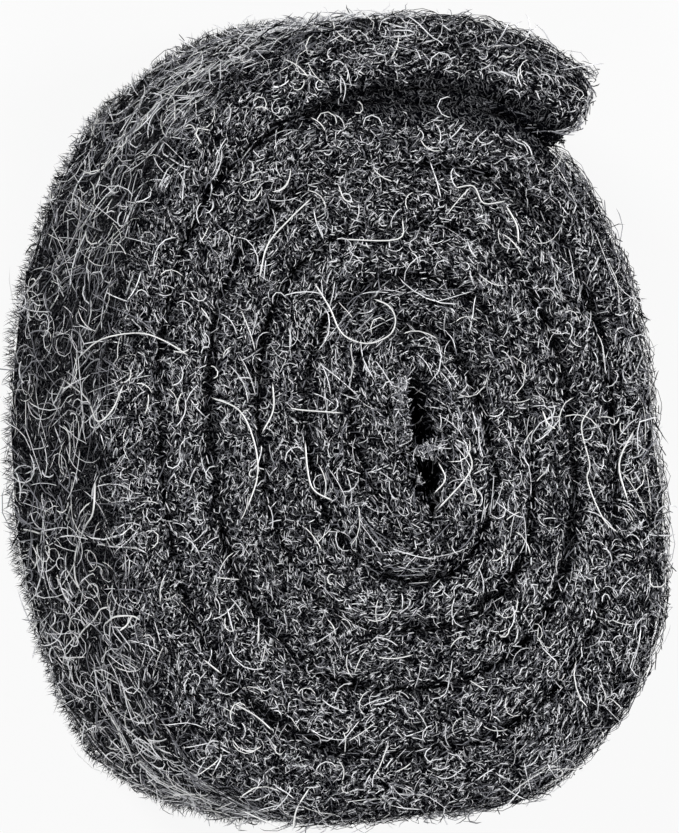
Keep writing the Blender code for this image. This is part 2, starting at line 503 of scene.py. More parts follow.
def make_felt_material(dashes):
    material, shader = new_material("felt_dashes_on_painted_shade", FELT_ROUGHNESS)
    tree = material.node_tree
    shader.inputs["Specular IOR Level"].default_value = 0.0

    place = tree.nodes.new("ShaderNodeTexCoord").outputs["Object"]
    fineness = (MILLIMETRES, MILLIMETRES, MILLIMETRES * DASH_STRETCH)
    place = add_vector_math(tree, "MULTIPLY", place, fineness)
    wander = tree.nodes.new("ShaderNodeTexNoise")
    wander.inputs["Scale"].default_value = WANDER_PER_MILLIMETRE
    connect(tree, (place, wander.inputs["Vector"]))
    shift = add_vector_math(tree, "SUBTRACT", wander.outputs["Color"], MIDDLE_GREY)
    bent = add_vector_math(tree, "ADD", place, shift)
    normal = tree.nodes.new("ShaderNodeNewGeometry").outputs["Normal"]

    masks = []
    for per_millimetre, half_width, offset in DASH_LAYERS:
        layer = tree.nodes.new("ShaderNodeGroup")
        layer.node_tree = dashes
        moved = add_vector_math(tree, "ADD", bent, (offset,) * 3)
        connect(tree, (moved, layer.inputs["Place"]), (normal, layer.inputs["Surface Normal"]))
        layer.inputs["Per Millimetre"].default_value = per_millimetre
        layer.inputs["Half Width"].default_value = half_width
        masks.append(layer.outputs["Mask"])
    fibres = add_math(tree, "MAXIMUM", add_math(tree, "MAXIMUM", masks[0], masks[1]), masks[2])

    patches = tree.nodes.new("ShaderNodeTexNoise")
    patches.inputs["Scale"].default_value = PATCHES_PER_MILLIMETRE
    connect(tree, (place, patches.inputs["Vector"]))
    patchy = add_math(tree, "MULTIPLY", patches.outputs["Fac"], PATCH_CONTRAST)
    strength = add_math(tree, "MULTIPLY", fibres, patchy, clamp=True)
    facing = tree.nodes.new("ShaderNodeSeparateXYZ")
    connect(tree, (normal, facing.inputs[0]))
    upright = add_math(tree, "MULTIPLY", add_math(tree, "ABSOLUTE", facing.outputs["Z"]), 1 - WALL_DASHES)
    strength = add_math(tree, "MULTIPLY", strength, add_math(tree, "ADD", upright, WALL_DASHES))

    # Painted shade: the near-black ground, under the grey dashes of deeper fibres.
    colour = tree.nodes.new("ShaderNodeMix")
    colour.data_type = "RGBA"
    colour.inputs["A"].default_value = FELT_PAINTED_SHADE_BLACK
    colour.inputs["B"].default_value = FELT_GREY
    connect(tree, (strength, colour.inputs["Factor"]),
            (colour.outputs["Result"], shader.inputs["Base Color"]))

    relief = tree.nodes.new("ShaderNodeBump")
    relief.inputs["Strength"].default_value = RELIEF_STRENGTH
    relief.inputs["Distance"].default_value = RELIEF_DEPTH
    connect(tree, (fibres, relief.inputs["Height"]), (relief.outputs["Normal"], shader.inputs["Normal"]))
    return material


felt_mesh, felt_tree = make_felt()
felt_dashes_on_painted_shade = make_felt_material(make_dash_group())
felt = add_piece("wound_felt", felt_mesh, [felt_dashes_on_painted_shade])
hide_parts("wound_strip")


# The packed creases
# Deep between two turns the fibres of both have tangled into one mat, so no light comes through the roll. It
# is coloured with the felt's near-black painted shade.

PACKED_DEPTH = 0.0045
PACKED_FOOT = 0.0015
PACKED_OVERLAP = 0.0004
PACKED_FROM = 0.96
PACKED_SHORT_OF_TAIL = 0.035
PACKED_STATIONS = 420


def pack_creases():
    windings = np.linspace(PACKED_FROM, TURNS - PACKED_SHORT_OF_TAIL, PACKED_STATIONS)
    above = strip_faces(windings)[0] + outward(windings) * PACKED_OVERLAP
    below = strip_faces(windings - 1)[1] - outward(windings) * PACKED_OVERLAP
    low, high = PACKED_FOOT, STRIP_WIDTH - PACKED_DEPTH
    bm = sweep([((*near, low), (*far, low), (*far, high), (*near, high)) for near, far in zip(below, above)])
    add_piece("packed_creases", mesh_from(bm, "packed_creases"), [felt_dashes_on_painted_shade])


pack_creases()


# The fibres of the upper end
# The strip was cut across its fibres, so its upper edge is a pile of short cut ends that lie and stand at
# all angles. Each is a shaving of mild steel, about 0.2 mm thick, bright where it catches the light.
# Each sort is (name, how many, middle length, radius, where its points lie along it).

# Fibre colours are painted light and shade. A lit, a half-lit and a shaded copy of one steel stand in for
# fibres that catch the lamps, fibres half in light and fibres in shade. Some of the shaded copy also stands
# for darker oxidised fibres.
PAINTED_LIT_STEEL = (0.90, 0.905, 0.935, 1)
PAINTED_HALF_LIT_STEEL = (0.22, 0.224, 0.25, 1)
PAINTED_SHADED_STEEL = (0.0018, 0.0020, 0.0034, 1)
COARSE_STEEL = (0.93, 0.93, 0.925, 1)
STEEL_METALLIC = 0.22
PAINTED_SHADE_SPECULAR = 0.015
COARSE_METALLIC = 0.15
STEEL_ROUGHNESS = 0.34
# Shares of the lit, half-lit and shaded copies (painted light and shade). Each table of shares below splits
# its fibres the same way, and a fourth share, where there is one, goes to the coarse shaving.
LIT_HALF_LIT_SHADED_SHARES = (0.375, 0.20, 0.425)

SEED = 4117
END_FIBRE_SORTS = (
    ("fine_end_fibres", 29500, 0.00098, 0.000088, (-0.5, 0.0, 0.5)),
    ("short_end_fibres", 11000, 0.0012, 0.000082, (-0.5, -0.36, 0.36, 0.5)),
    ("curly_end_fibres", 4200, 0.0018, 0.000084, (-0.5, -0.36, 0.0, 0.36, 0.5)),
    ("long_end_fibres", 1500, 0.0032, 0.000084, (-0.5, -0.4, -0.2, 0.0, 0.2, 0.4, 0.5)),
)
TRIES_PER_FIBRE = 2.4
END_LENGTH_SPREAD = 0.3
END_FIBRE_BEND = 1.7
SHARPEST_BEND = 0.62
STRAIGHTEST = 1e-4
END_FIBRE_SLOPE = 0.45
END_LAYER = (-0.0014, 0.0003)
THICK_AND_THIN = (0.70, 1.0)
THICK_RARITY = 2.2
CROWN_CUT = 0.85
GRAIN_SIZE = 0.0050
GRAIN_SWING = 1.6
GRAIN_SPREAD = 0.78
CREASE_SHADE = 0.0013
TAIL_SHADE = 2.6
# How strongly, and how far from the crease, end fibres beside the tail's crease take the shaded steel:
# painted shade.
TAIL_PAINTED_SHADE = 1.6
TAIL_PAINTED_SHADE_REACH = 0.0038
CREASE_OPEN_SIZE = 0.009
CREASE_OPEN_SHIFT = (3, 8, 1)
CREASE_OPEN_RANGE = (-0.35, 0.35)
CREASE_FILL = (0.04, 0.66)
CLUMP_SIZE = 0.0024
CLUMP_CONTRAST = 0.9
CLUMP_FLOOR = 0.55
EYE_HOLLOW_BARE = 0.9
STRIP_SAMPLES = 3000
STRIP_MARGINS = (0.01, 0.001)
SAME_PLACE = 1e-7

rng = np.random.default_rng(SEED)


def make_steel(name, colour, metallic, specular=0.5):
    material, shader = new_material(name, STEEL_ROUGHNESS)
    shader.inputs["Base Color"].default_value = colour
    shader.inputs["Metallic"].default_value = metallic
    shader.inputs["Specular IOR Level"].default_value = specular
    return material


# Three painted-light copies of one steel (lit, half-lit and shaded), and the coarse shaving.
lit_shaded_and_coarse_steels = [
    make_steel("steel_fibre_painted_lit", PAINTED_LIT_STEEL, STEEL_METALLIC),
    make_steel("steel_fibre_painted_half_lit", PAINTED_HALF_LIT_STEEL, STEEL_METALLIC),
    make_steel("steel_fibre_painted_shade", PAINTED_SHADED_STEEL, 0.0, PAINTED_SHADE_SPECULAR),
    make_steel("coarse_shaving", COARSE_STEEL, COARSE_METALLIC),
]
PAINTED_LIT_SLOT = 0
PAINTED_SHADE_SLOT = 2
COARSE_FINISH = 3


def make_fibre_section():
    """Every fibre is swept with this three-sided section of unit radius, scaled by its points' radius."""
    data = bpy.data.curves.new("fibre_section", "CURVE")
    data.dimensions = "2D"
    data.fill_mode = "NONE"
    spline = data.splines.new("POLY")
    spline.points.add(2)
    for point, angle in zip(spline.points, (0, 2 * math.pi / 3, 4 * math.pi / 3)):
        point.co = (math.cos(angle), math.sin(angle), 0, 1)
    spline.use_cyclic_u = True
    return bpy.data.objects.new("fibre_section", data)


fibre_section = make_fibre_section()


def make_fibres(name, paths, radii, lit_shaded_or_coarse):
    """A piece of many fibres. Each path is an array of points, and a fibre tapers to both its ends."""
    data = bpy.data.curves.new(name, "CURVE")
    data.dimensions = "3D"
    data.bevel_mode = "OBJECT"
    data.bevel_object = fibre_section
    for lit_shaded_or_coarse_steel in lit_shaded_and_coarse_steels:
        data.materials.append(lit_shaded_or_coarse_steel)
    for path, radius, lit_shaded_or_coarse_steel in zip(paths, radii, lit_shaded_or_coarse):
        spline = data.splines.new("POLY")
        spline.points.add(len(path) - 1)
        spline.points.foreach_set("co", np.column_stack([path, np.ones(len(path))]).ravel())
        widths = np.full(len(path), radius)
        widths[[0, -1]] = 0
        spline.points.foreach_set("radius", widths)
        spline.material_index = int(lit_shaded_or_coarse_steel)
        spline.use_smooth = True
    shape = add_object(name + "_lines", data)
    mesh = bpy.data.meshes.new_from_object(shape.evaluated_get(bpy.context.evaluated_depsgraph_get()))
    bpy.data.objects.remove(shape)
    bpy.data.curves.remove(data)
    bm = bmesh.new()
    bm.from_mesh(mesh)
    bmesh.ops.remove_doubles(bm, verts=bm.verts[:], dist=SAME_PLACE)
    bm.to_mesh(mesh)
    bm.free()
    return add_piece(name, mesh)


def strip_winding_for(shares):
    """Windings spread so that every stretch of strip gets the same number; shares run from 0 to 1."""
    windings = np.linspace(STRIP_START + STRIP_MARGINS[0], TURNS - STRIP_MARGINS[1], STRIP_SAMPLES)
    total = np.cumsum(length_per_turn(windings) * strip_thickness(windings))
    return np.interp(shares, total / total[-1], windings)


def noise_at(places, size, shift=(0, 0, 0)):
    """Smooth noise at each place, from about -1 to 1, in lumps of this size."""
    return np.array([noise.noise(Vector(place) / size + Vector(shift)) for place in places])


def clumps(places):
    """A number from 0 to 1 for each place that says how thick the fibres lie there."""
    return np.clip(0.5 + CLUMP_CONTRAST * noise_at(places, CLUMP_SIZE), 0, 1)


def crown_drop(distance, crown):
    """How far the crown lies under its highest line, at a distance from the nearer face of the strip."""
    inside = np.clip(1 - distance / crown, 0, CROWN_CUT)
    return crown * (1 - np.sqrt(1 - inside**2))


def with_height(plan, height):
    return np.concatenate([plan, height[..., None]], axis=-1)


def on_end(winding, share, rise):
    """Places over the upper end; share goes from the strip's inner face at 0 to its outer face at 1."""
    inner, outer = strip_faces(winding)
    plan = inner + (outer - inner) * share[..., None]
    distance = np.minimum(share, 1 - share) * strip_thickness(winding)
    crown = np.where(share < 0.5, inner_crown(winding), FELT_CROWN)
    places = with_height(plan, STRIP_WIDTH - crown_drop(distance, crown) + rise)
    places[..., 2] -= tuft_drop(places)
    return places


def grain(places):
    """The heading that the fibres lean to at each place: along the strip, swinging to either side."""
    return GRAIN_SWING * noise_at(places, GRAIN_SIZE)


def bent_line(length, bend, stations, heading=None):
    """Points of arcs in their own plane, centred on 0: a row for each, at its heading or a random one."""
    count = len(length)
    if heading is None:
        heading = rng.uniform(0, 2 * np.pi, count)
    sharpest = SHARPEST_BEND * (len(stations) - 1)
    curl = np.clip(rng.normal(0, bend, count), -sharpest, sharpest)[:, None] + STRAIGHTEST
    angle = heading[:, None] + curl * stations
    swing = length[:, None] / curl
    along = swing * (np.sin(angle) - np.sin(heading[:, None]))
    across = -swing * (np.cos(angle) - np.cos(heading[:, None]))
    return along, across


def mixed_lengths(middle, spread, count):
    """Lengths that scatter round a middle one. The values named LENGTHS hold (middle, spread)."""
    return middle * rng.lognormal(0, spread, count)


def tilt(length, slope, stations):
    """How each fibre climbs from one end to the other."""
    return (length * rng.normal(0, slope, len(length)))[:, None] * stations


# Picks each fibre's lit, half-lit or shaded copy of the steel (painted light and shade), or the coarse
# shaving.
def pick_lit_shaded_or_coarse(count, shares=LIT_HALF_LIT_SHADED_SHARES):
    return rng.choice(len(shares), size=count, p=shares)


def windings_along(winding, along):
    """The windings that are reached from each one by going some way along the strip."""
    return winding[:, None] + along / length_per_turn(winding)[:, None]


def over_the_end(winding, share, rise, along, across, climb):
    """The paths of fibres laid over the upper end, from their middles and their own bends."""
    shares = share[:, None] + across / strip_thickness(winding)[:, None]
    return on_end(windings_along(winding, along), shares, rise[:, None] + climb)


def under_tail(winding, share):
    """1 beside the crease that the tail lifts off, falling to 0 where the tail is held down again."""
    on_tail = np.clip((winding - TURNS) / TAIL_SPAN + 1, 0, 1) * (share < 0.5)
    on_roll = np.clip((winding + 1 - TURNS) / TAIL_SPAN + 1, 0, 1) * (winding + 1 < TURNS) * (share > 0.5)
    return np.minimum(1, 2 * (on_tail + on_roll))


def held_share(places, winding, share, thickness):
    """The share of the fibres that is there: small beside an open crease, larger beside a closed one."""
    distance = np.minimum(share, 1 - share) * thickness
    closed = noise_at(places, CREASE_OPEN_SIZE, CREASE_OPEN_SHIFT)
    lifted = under_tail(winding, share)
    left = np.interp(closed, CREASE_OPEN_RANGE, CREASE_FILL) * (1 - lifted)
    shade = CREASE_SHADE * (1 + TAIL_SHADE * lifted)
    return left + (1 - left) * np.clip(distance / shade, 0, 1) ** (1 + lifted)


def mixed_radii(radius, count):
    """Radii for fibres of one sort: most are finer than its radius, and a few are much thicker."""
    least, spread = THICK_AND_THIN
    return radius * (least + spread * rng.random(count) ** THICK_RARITY)


def lay_end_fibres():
    """Short and long fibres all over the upper end, thick on the tufts and thin by the creases."""
    for name, count, length, radius, stations in END_FIBRE_SORTS:
        stations = np.array(stations)
        tries = int(count * TRIES_PER_FIBRE)
        winding = strip_winding_for(rng.random(tries))
        share = rng.random(tries)
        rise = rng.uniform(*END_LAYER, tries)
        thickness = strip_thickness(winding)
        places = on_end(winding, share, rise)
        wanted = CLUMP_FLOOR + (1 - CLUMP_FLOOR) * clumps(places)
        wanted *= held_share(places, winding, share, thickness)
        wanted *= 1 - EYE_HOLLOW_BARE * eye_hollow(places) / EYE_HOLLOW_DEPTH
        kept = np.flatnonzero(rng.random(tries) < wanted)[:count]
        heading = grain(places[kept]) + rng.normal(0, GRAIN_SPREAD, len(kept))
        lengths = mixed_lengths(length, END_LENGTH_SPREAD, len(kept))
        along, across = bent_line(lengths, END_FIBRE_BEND, stations, heading)
        climb = tilt(lengths, END_FIBRE_SLOPE, stations)
        paths = over_the_end(winding[kept], share[kept], rise[kept], along, across, climb)
        reach = (np.minimum(share, 1 - share) * thickness)[kept]
        # Painted shade: beside the crease that the tail lifts off, fibres take the shaded steel.
        shade = TAIL_PAINTED_SHADE * under_tail(winding[kept], share[kept]) * (1 - reach / TAIL_PAINTED_SHADE_REACH)
        lit_shaded_or_coarse = pick_lit_shaded_or_coarse(len(kept))
        lit_shaded_or_coarse = np.where(rng.random(len(kept)) < shade, PAINTED_SHADE_SLOT, lit_shaded_or_coarse)
        make_fibres(name, paths, mixed_radii(radius, len(kept)), lit_shaded_or_coarse)


lay_end_fibres()


# The fibres in the creases
# Fibres of two turns cross the crease between them, and others stand out of the felt into the eye. The
# deeper a place lies, the fewer there are.

CREASE_FIBRE_COUNT = 3000
EYE_FIBRE_COUNT = 2600
CREASE_FIBRE_LENGTHS = (0.0018, 0.4)
CREASE_FIBRE_RADII = (0.0000595, 0.0001105)
CREASE_FIBRE_SLOPE = 0.35
# Crease fibres lean more to the shaded steel: painted shade in the creases.
CREASE_SHADED_SHARES = (0.20, 0.32, 0.48)
CREASE_DEPTH = 0.0060
CREASE_CROWDING = 1.8
EYE_DEPTH = 0.035
EYE_TURNS = (0.02, 1.15)
WALL_RISE = 0.0010
TAIL_SHADED_FROM = 0.3
FIBRE_STATIONS = np.array([-0.5, -0.36, 0.36, 0.5])


def on_face(winding, outer_side, height, rise):
    """Places on the strip's inner or outer face, standing off it by rise."""
    inner, outer = strip_faces(winding)
    base = np.where(outer_side[..., None], outer, inner)
    away = np.where(outer_side[..., None], outward(winding + 1), -outward(winding))
    return with_height(base + away * rise[..., None], height)


def lay_crease_fibres():
    count = CREASE_FIBRE_COUNT + EYE_FIBRE_COUNT
    in_eye = np.arange(count) < EYE_FIBRE_COUNT
    winding = np.where(in_eye, rng.uniform(*EYE_TURNS, count), strip_winding_for(rng.random(count)))
    depth = np.where(in_eye, EYE_DEPTH, CREASE_DEPTH) * rng.random(count) ** CREASE_CROWDING
    height = STRIP_WIDTH - FELT_SUNK_TOP - depth
    outer_side = np.where(in_eye, False, rng.random(count) < 0.5)
    length = mixed_lengths(*CREASE_FIBRE_LENGTHS, count)
    along, upward = bent_line(length, END_FIBRE_BEND, FIBRE_STATIONS)
    rise = rng.uniform(0, WALL_RISE, count)[:, None] + tilt(length, CREASE_FIBRE_SLOPE, FIBRE_STATIONS)
    windings = windings_along(winding, along)
    sides = np.broadcast_to(outer_side[:, None], windings.shape)
    paths = on_face(windings, sides, height[:, None] + upward, rise)
    radii = rng.uniform(*CREASE_FIBRE_RADII, count)
    lit_shaded_or_coarse = pick_lit_shaded_or_coarse(count, CREASE_SHADED_SHARES)
    # Painted shade: beside the crease under the tail, all of them take the shaded steel.
    shaded = under_tail(winding, np.where(outer_side, 1.0, 0.0)) > TAIL_SHADED_FROM
    lit_shaded_or_coarse = np.where(shaded, PAINTED_SHADE_SLOT, lit_shaded_or_coarse)
    bare = eye_hollow(on_face(winding, outer_side, height, np.zeros(count))) / EYE_HOLLOW_DEPTH
    kept = np.flatnonzero(rng.random(count) > bare)
    make_fibres("crease_fibres", paths[kept], radii[kept], lit_shaded_or_coarse[kept])


lay_crease_fibres()


# The fibres of the eye
# Two bunches of fibres bridge the eye, a line of short ones stands beside it like a thin wall, and long
# ones wrap round it with the first turns.

EYE_BRIDGE_PIXELS = ((422, 452), (431, 448))
EYE_BRIDGE_COUNT = 44
EYE_BRIDGE_SUNK = 0.0025
EYE_BRIDGE_SPREAD = (0.0011, 0.0007, 0.0010)
EYE_BRIDGE_LENGTHS = (0.0024, 0.3)
EYE_BRIDGE_SLOPE = 0.4
EYE_WALL_PIXELS = ((402, 378), (407, 442))
EYE_WALL_COUNT = 700
EYE_WALL_SPREAD = 0.0007
EYE_WALL_SUNK = (0.0005, 0.0045)
EYE_WALL_LENGTHS = (0.0013, 0.3)
EYE_WALL_SLOPE = 0.6
EYE_WRAP_COUNT = 120
EYE_WRAP_TURNS = (0.5, 1.9)
EYE_WRAP_LENGTHS = (0.0052, 0.35)
EYE_WRAP_BEND = 0.5
EYE_WRAP_SWING = 0.25
EYE_WRAP_LAYER = (-0.0002, 0.0005)
EYE_WRAP_SLOPE = 0.03
EYE_FIBRE_RADII = (0.000068, 0.0001105)
EYE_SHARES = (0.30, 0.32, 0.38)
LONG_STATIONS = np.array([-0.5, -0.4, -0.22, 0.0, 0.22, 0.4, 0.5])


def round_places(places, length, slope, stations):
    """The paths of bent fibres with their middles at these places, at any heading."""
    along, across = bent_line(length, END_FIBRE_BEND, stations)
    climb = tilt(length, slope, stations)
    return places[:, None, :] + np.stack([along, across, climb], axis=-1)


def eye_bridge():
    count = EYE_BRIDGE_COUNT * len(EYE_BRIDGE_PIXELS)
    middles = [under_pixel(pixel, EYE_BRIDGE_SUNK) for pixel in EYE_BRIDGE_PIXELS]
    centres = np.repeat(np.array(middles), EYE_BRIDGE_COUNT, axis=0)
    centres += rng.normal(0, 1, (count, 3)) * EYE_BRIDGE_SPREAD
    length = mixed_lengths(*EYE_BRIDGE_LENGTHS, count)
    return round_places(centres, length, EYE_BRIDGE_SLOPE, LONG_STATIONS)


def eye_wall():
    count = EYE_WALL_COUNT
    share = rng.random(count)[:, None]
    first, last = (under_pixel(pixel, 0) for pixel in EYE_WALL_PIXELS)
    centres = first + share * (last - first)
    centres[:, :2] += rng.normal(0, EYE_WALL_SPREAD, (count, 2))
    centres[:, 2] -= rng.uniform(*EYE_WALL_SUNK, count)
    length = mixed_lengths(*EYE_WALL_LENGTHS, count)
    return round_places(centres, length, EYE_WALL_SLOPE, FIBRE_STATIONS)


def eye_wrap():
    count = EYE_WRAP_COUNT
    length = mixed_lengths(*EYE_WRAP_LENGTHS, count)
    heading = rng.normal(0, EYE_WRAP_SWING, count)
    along, across = bent_line(length, EYE_WRAP_BEND, LONG_STATIONS, heading)
    winding = rng.uniform(*EYE_WRAP_TURNS, count)
    rise = rng.uniform(*EYE_WRAP_LAYER, count)
    share = rng.random(count)
    climb = tilt(length, EYE_WRAP_SLOPE, LONG_STATIONS)
    return over_the_end(winding, share, rise, along, across, climb)


def lay_eye_fibres():
    paths = [*eye_bridge(), *eye_wall(), *eye_wrap()]
    radii = rng.uniform(*EYE_FIBRE_RADII, len(paths))
    make_fibres("eye_fibres", paths, radii, pick_lit_shaded_or_coarse(len(paths), EYE_SHARES))


lay_eye_fibres()


# The fibres of the side
# The outer face of the strip was never cut, so its fibres are long: they wander over the roll in wide bends
# and loops, run on over its rounded rim, and some of them stand off the felt.
# Each sort is (name, how many, middle length, bend, where its points lie along it).

SIDE_FIBRE_SORTS = (
    ("side_fibres", 3300, 0.0062, 1.9, (-0.5, -0.36, -0.12, 0.12, 0.36, 0.5)),
    ("side_loops", 1450, 0.0078, 5.0, (-0.5, -0.42, -0.29, -0.15, 0.0, 0.15, 0.29, 0.42, 0.5)),
)
SIDE_LENGTH_SPREAD = 0.42
SIDE_FIBRE_RADIUS = 0.000090
SIDE_STRETCH = (1.4, 2.7)
SIDE_STAND = 0.55
SIDE_LAYER = (-0.0002, 0.0010)
SIDE_SHARES = (0.38, 0.30, 0.22, 0.10)
SIDE_MOST_RISE = 0.0034
RIM_ROUND = 0.0032
RIM_SQUEEZE = 3.4
RIM_OVERLAP = 0.0012
FLOOR_CLEARANCE = 0.0003
FOOT_MARGIN = 0.001
LAST_TURN = (TURNS - 1.0, TURNS)
LAST_TURN_REACH = (TURNS - 1.05, TURNS)
SIDE_DEPTH = STRIP_WIDTH - RIM_ROUND + RIM_ROUND * math.pi / 2


def on_side(winding, down, rise):
    """Places on the last turn's outer face; down is the way from the rim's top, over it and down the side."""
    arc = RIM_ROUND * np.pi / 2
    turn = np.clip(down / arc, 0, 1) * np.pi / 2
    inward = np.minimum(down, 0) / RIM_SQUEEZE
    below = np.maximum(down - arc, 0)
    out = RIM_ROUND * (np.sin(turn) - 1) + inward + rise * np.sin(turn)
    height = STRIP_WIDTH - RIM_ROUND * (1 - np.cos(turn)) - below + rise * np.cos(turn)
    outer = strip_faces(winding)[1]
    away = outward(winding + 1)
    places = with_height(outer + away * out[..., None], np.maximum(height, FLOOR_CLEARANCE))
    raised = TUFT_HEIGHT * TUFT_ON_WALL * tuft(places) * np.sin(turn)
    places[..., 2] -= tuft_drop(places) * np.cos(turn)
    places[..., :2] += away * raised[..., None]
    return places


def near_side(winding, along, down, rise):
    """The paths of fibres on the side, held between the two ends of the last turn."""
    return on_side(np.clip(windings_along(winding, along), *LAST_TURN_REACH), down, rise)


def side_stretch(winding):
    """How far the fibres reach down the side: farthest on the left, where winding has combed them."""
    to_left = np.clip(-outward(winding + 1)[..., 0], 0, 1)
    return SIDE_STRETCH[0] + (SIDE_STRETCH[1] - SIDE_STRETCH[0]) * to_left**2


def lay_side_fibres():
    """Gently bent fibres, and curly ones that make loops, all over the side and the rim."""
    for name, count, middle_length, bend, stations in SIDE_FIBRE_SORTS:
        winding = rng.uniform(*LAST_TURN, count)
        down = rng.uniform(-RIM_OVERLAP, SIDE_DEPTH - FOOT_MARGIN, count)
        length = mixed_lengths(middle_length, SIDE_LENGTH_SPREAD, count)
        along, upward = bent_line(length, bend, np.array(stations))
        lean = rng.uniform(0, np.pi / 2, count)[:, None]
        rise = rng.uniform(*SIDE_LAYER, count)[:, None] + SIDE_STAND * upward * np.sin(lean)
        rise = np.clip(rise, SIDE_LAYER[0], SIDE_MOST_RISE)
        reach = side_stretch(winding)[:, None] * upward * np.cos(lean)
        paths = near_side(winding, along, down[:, None] + reach, rise)
        make_fibres(name, paths, mixed_radii(SIDE_FIBRE_RADIUS, count), pick_lit_shaded_or_coarse(count, SIDE_SHARES))


lay_side_fibres()


# The fuzz
# All over the roll fine curly ends stand out of the felt by a millimetre or so, and a few long ones are
# swept along the rim. They show best against the background.
# Each band of them is (how many, from, to), counted down the side.

FUZZ_BANDS = (
    (2300, -0.0005, RIM_ROUND * 2.2),
    (1400, RIM_ROUND * 2, SIDE_DEPTH - 0.004),
    (900, SIDE_DEPTH - 0.008, SIDE_DEPTH - FOOT_MARGIN),
)
FUZZ_LENGTHS = (0.0026, 0.3)
FUZZ_RADII = (0.0000364, 0.0000676)
FUZZ_BEND = 2.6
FUZZ_STAND = (0.10, 0.45)
FUZZ_ARCH = 0.8
FUZZ_SHARES = (0.0, 0.20, 0.80)
FUZZ_STATIONS = np.array([-0.5, -0.25, 0.1, 0.4, 0.5])
SWEPT_COUNT = 420
SWEPT_BAND = (0, RIM_ROUND * 2.2)
SWEPT_LENGTHS = (0.0065, 0.35)
SWEPT_RADII = (0.0000416, 0.0000728)
SWEPT_BEND = 1.0
SWEPT_SWING = 0.25
SWEPT_STAND = (0.00042, 0.00182)


def lay_fuzz():
    down = np.concatenate([rng.uniform(start, end, count) for count, start, end in FUZZ_BANDS])
    count = len(down)
    winding = rng.uniform(*LAST_TURN, count)
    length = mixed_lengths(*FUZZ_LENGTHS, count)
    along, upward = bent_line(length, FUZZ_BEND, FUZZ_STATIONS)
    stand = length * rng.uniform(*FUZZ_STAND, count)
    rise = stand[:, None] * np.sin(FUZZ_ARCH * np.pi * (FUZZ_STATIONS + 0.5))
    paths = list(near_side(winding, along, down[:, None] + upward, rise))
    radii = rng.uniform(*FUZZ_RADII, count)

    count = SWEPT_COUNT
    winding = rng.uniform(*LAST_TURN, count)
    down = rng.uniform(*SWEPT_BAND, count)
    length = mixed_lengths(*SWEPT_LENGTHS, count)
    along, upward = bent_line(length, SWEPT_BEND, LONG_STATIONS, rng.normal(0, SWEPT_SWING, count))
    rise = rng.uniform(*SWEPT_STAND, count)[:, None] * np.sin(np.pi * (LONG_STATIONS + 0.5))
    paths.extend(near_side(winding, along, down[:, None] + upward, rise))
    radii = np.concatenate([radii, rng.uniform(*SWEPT_RADII, count)])
    make_fibres("fuzz", paths, radii, pick_lit_shaded_or_coarse(len(paths), FUZZ_SHARES))


lay_fuzz()


# The fringe
# Short ends lie over the whole side. They are thickest round the foot, where they stand out of the lower
# cut edge, and those that stand far out take the shaded steel: painted shade.

FRINGE_COUNT = 17500
FRINGE_LENGTHS = (0.0011, 0.3)
FRINGE_RADII = (0.000054, 0.000099)
FRINGE_SLOPE = 0.3
FRINGE_SHARES = (0.44, 0.28, 0.28)
FRINGE_DEPTH = 0.078
FRINGE_CROWDING = 2.6
FRINGE_STAND = 0.0024
FRINGE_STAND_FADE = 3
FRINGE_PAINTED_SHADE_FROM = 0.0005
FRINGE_STATIONS = np.array([-0.5, 0.0, 0.5])


def lay_foot_fringe():
    count = FRINGE_COUNT
    winding = rng.uniform(*LAST_TURN, count)
    down = SIDE_DEPTH - FRINGE_DEPTH * rng.random(count) ** FRINGE_CROWDING
    length = mixed_lengths(*FRINGE_LENGTHS, count)
    along, upward = bent_line(length, END_FIBRE_BEND, FRINGE_STATIONS)
    low = (1 - (SIDE_DEPTH - down) / FRINGE_DEPTH) ** FRINGE_STAND_FADE
    stand = FRINGE_STAND * low * rng.random(count)
    rise = stand[:, None] * (FRINGE_STATIONS + 0.5) + tilt(length, FRINGE_SLOPE, FRINGE_STATIONS)
    paths = near_side(winding, along, down[:, None] + upward, rise)
    lit_shaded_or_coarse = pick_lit_shaded_or_coarse(count, FRINGE_SHARES)
    # Painted shade: bright fibres that stand far out take the shaded steel.
    far_out = (stand > FRINGE_PAINTED_SHADE_FROM) & (lit_shaded_or_coarse == PAINTED_LIT_SLOT)
    lit_shaded_or_coarse = np.where(far_out, PAINTED_SHADE_SLOT, lit_shaded_or_coarse)
    make_fibres("foot_fringe", paths, rng.uniform(*FRINGE_RADII, count), lit_shaded_or_coarse)


lay_foot_fringe()


# The fibres of the tail
# They lie over the tail's rounded cut end, and over the part of its inner face that the roll doesn't hide.

TAIL_FIBRE_COUNT = 1300
TAIL_FIBRE_LENGTHS = (0.0022, 0.3)
TAIL_FIBRE_RADII = (0.0000595, 0.000102)
TAIL_FIBRE_STAND = (0.0, 0.5)
TAIL_FIBRE_LAYER = (-0.0002, 0.0006)
TAIL_ACROSS = (0.02, 0.98)
TAIL_CROWDING = 1.5
TAIL_THICKNESS = 0.012
TAIL_EDGE_CUT = 0.97
TAIL_OVER_TOP = 0.0004
TAIL_INNER_SPAN = 0.05
TAIL_INNER_TOP = 0.0015
TAIL_INNER_DEPTH = 0.016
TAIL_SHARES = (0.26, 0.34, 0.40)
# Fibres on the tail's inner face mostly take the shaded steel: painted shade under the tail.
TAIL_INNER_SHADED_SHARES = (0.03, 0.17, 0.80)


